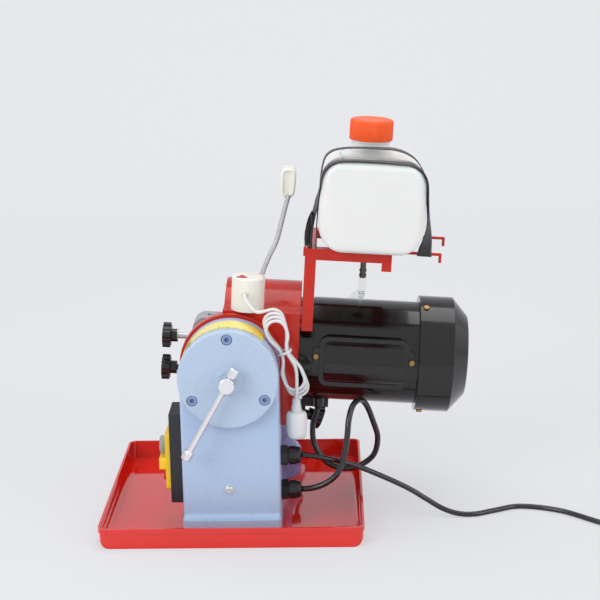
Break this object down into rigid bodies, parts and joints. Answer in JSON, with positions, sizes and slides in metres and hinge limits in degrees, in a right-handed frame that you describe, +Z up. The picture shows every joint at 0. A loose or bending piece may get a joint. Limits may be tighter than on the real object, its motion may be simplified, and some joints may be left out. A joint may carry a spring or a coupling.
{
  "type": "wet grinding sharpener",
  "caption": "Bench grinding sharpener with a fixed round-topped column, a tilting motor head with a hooded wheel, a coolant bottle, a work lamp and a swivelling carriage in a drip tray.",
  "frame": {"origin": "centre of the tray's flat underside, on the bench", "axes": "+X to the motor side, +Y from the tilt clamp towards the far side along the tilt axis, +Z up"},
  "size_m": [0.914, 0.6185, 0.5398],
  "materials": {
    "red_paint": "gloss",
    "blue_paint": "satin",
    "black_paint": "gloss",
    "steel": "satin",
    "chrome": "polished",
    "bronze": "satin",
    "brass": "satin",
    "scale_label": "satin",
    "black_plastic": "satin",
    "yellow_plastic": "gloss",
    "clear_plastic": "gloss",
    "green_plastic": "gloss",
    "red_plastic": "gloss",
    "aluminium": "cast",
    "copper_core": "matte",
    "abrasive": "rough",
    "hdpe": "satin",
    "orange_plastic": "satin",
    "webbing": "woven",
    "ivory_plastic": "satin",
    "white_plastic": "satin",
    "black_rubber": "satin",
    "white_lead": "satin"
  },
  "bodies": {
    "base": {"tray": "red_paint", "foot_bolts": "steel", "column": "blue_paint", "end_disc": "blue_paint", "disc_screws": "blue_paint", "tilt_bearings": "bronze", "angle_scale": "scale_label", "earth_screw": "chrome", "switch_box": "black_plastic", "switch_plate": "yellow_plastic", "switch_boot": "clear_plastic", "cable_glands": "black_plastic", "pillar": "blue_paint", "lamp_hank": "white_lead", "lamp_plug": "white_plastic", "mains_cord": "black_rubber", "mains_coil": "black_rubber", "mains_plug": "black_rubber", "motor_cable": "black_rubber"},
    "clamp": {"clamp_screw": "chrome"},
    "bar": {"clamp_bar": "chrome", "clamp_bar_caps": "chrome"},
    "start": {"start_button": "green_plastic"},
    "stop": {"stop_button": "red_plastic"},
    "lock": {"pillar_lock": "red_paint"},
    "swivel": {"carriage_swivel": "blue_paint", "carriage_rail": "steel"},
    "slide_block": {"slider": "aluminium"},
    "slide_knob": {"slider_knob": "black_plastic"},
    "blade_seat": {"blade_table": "steel", "blade_cone": "brass"},
    "head": {"swivel_disc": "red_paint", "tilt_shaft": "steel", "hood": "red_paint", "stop_block": "aluminium", "motor_bells": "black_paint", "motor_shell": "black_paint", "stator": "copper_core", "bearings": "steel", "motor_screws": "brass", "knob_bracket": "black_plastic", "fan_cover": "black_paint", "bottle_bracket": "red_paint", "bottle": "hdpe", "bottle_straps": "webbing", "water_tap": "brass", "lamp_base": "ivory_plastic", "lamp_arm": "chrome", "lamp_lead": "white_lead"},
    "knob_upper": {"stop_knob_upper": "black_plastic"},
    "knob_lower": {"stop_knob_lower": "black_plastic"},
    "finger": {"stop_finger": "steel"},
    "knob_motor": {"motor_knob": "black_plastic"},
    "spindle": {"rotor": "steel", "cooling_fan": "black_plastic", "grinding_wheel": "abrasive", "wheel_flanges": "steel"},
    "cap": {"bottle_cap": "orange_plastic"},
    "tap": {"tap_lever": "brass"},
    "lamp_switch": {"lamp_rocker": "red_plastic"}
  },
  "joints": [
    {"name": "head_tilt", "type": "hinge", "parent": "base", "child": "head", "pos_m": [0, -0.1, 0.22], "axis": [0, 1, 0], "range_deg": [-28.8, 12.2], "deforming": ["motor_cable", "lamp_lead"]},
    {"name": "clamp_turn", "type": "hinge", "parent": "base", "child": "clamp", "pos_m": [0, -0.14, 0.22], "axis": [0, 1, 0], "range_deg": [-45, 90]},
    {"name": "clamp_bar_slide", "type": "slide", "parent": "clamp", "child": "bar", "axis": [0.4894, 0, 0.8721], "range_m": [0, 0.092]},
    {"name": "start_press", "type": "slide", "parent": "base", "child": "start", "axis": [1, 0, 0], "range_m": [0, 0.0025], "stiffness_N_per_m": 600},
    {"name": "stop_press", "type": "slide", "parent": "base", "child": "stop", "axis": [1, 0, 0], "range_m": [0, 0.0025], "stiffness_N_per_m": 600},
    {"name": "pillar_lock_turn", "type": "hinge", "parent": "base", "child": "lock", "pos_m": [0.06885, 0.11648, 0.084], "axis": [0.9063, 0.4226, 0], "range_deg": [-60, 60]},
    {"name": "carriage_swing", "type": "hinge", "parent": "base", "child": "swivel", "pos_m": [0.0335, 0.1, 0.098], "axis": [0, 0, 1], "range_deg": [0, 90]},
    {"name": "slider_travel", "type": "slide", "parent": "swivel", "child": "slide_block", "axis": [0, 1, 0], "range_m": [-0.05, 0.1]},
    {"name": "slider_knob_turn", "type": "hinge", "parent": "slide_block", "child": "slide_knob", "pos_m": [0.0015, 0.218, 0.12], "axis": [-1, 0, 0], "range_deg": [-180, 180]},
    {"name": "blade_turn", "type": "hinge", "parent": "slide_block", "child": "blade_seat", "pos_m": [0.0335, 0.218, 0.14], "axis": [0, 0, 1], "continuous": true},
    {"name": "stop_knob_upper_turn", "type": "hinge", "parent": "head", "child": "knob_upper", "pos_m": [-0.0779, 0.01, 0.23921], "axis": [-0.9978, 0, 0.0663], "range_deg": [-180, 180]},
    {"name": "stop_knob_lower_turn", "type": "hinge", "parent": "head", "child": "knob_lower", "pos_m": [-0.08095, 0.01, 0.19331], "axis": [-0.9978, 0, 0.0663], "range_deg": [-180, 180]},
    {"name": "stop_finger_slide", "type": "slide", "parent": "head", "child": "finger", "axis": [0.0663, 0, 0.9978], "range_m": [-0.012, 0.003]},
    {"name": "motor_knob_turn", "type": "hinge", "parent": "head", "child": "knob_motor", "pos_m": [0.09944, 0.03, 0.11768], "axis": [0.9285, 0, -0.3714], "range_deg": [-180, 180]},
    {"name": "spindle_spin", "type": "hinge", "parent": "head", "child": "spindle", "pos_m": [0.08994, 0.028, 0.21603], "axis": [0.9978, 0, -0.0663], "continuous": true},
    {"name": "cap_turn", "type": "hinge", "parent": "head", "child": "cap", "pos_m": [0.19067, -0.002, 0.51802], "axis": [0.0663, 0, 0.9978], "range_deg": [0, 360]},
    {"name": "tap_turn", "type": "hinge", "parent": "head", "child": "tap", "pos_m": [0.1801, -0.009, 0.35135], "axis": [0, 1, 0], "range_deg": [0, 90]},
    {"name": "lamp_rocker_tip", "type": "hinge", "parent": "head", "child": "lamp_switch", "pos_m": [0.01647, -0.052, 0.33215], "axis": [0, 1, 0], "range_deg": [-10, 10]}
  ]
}
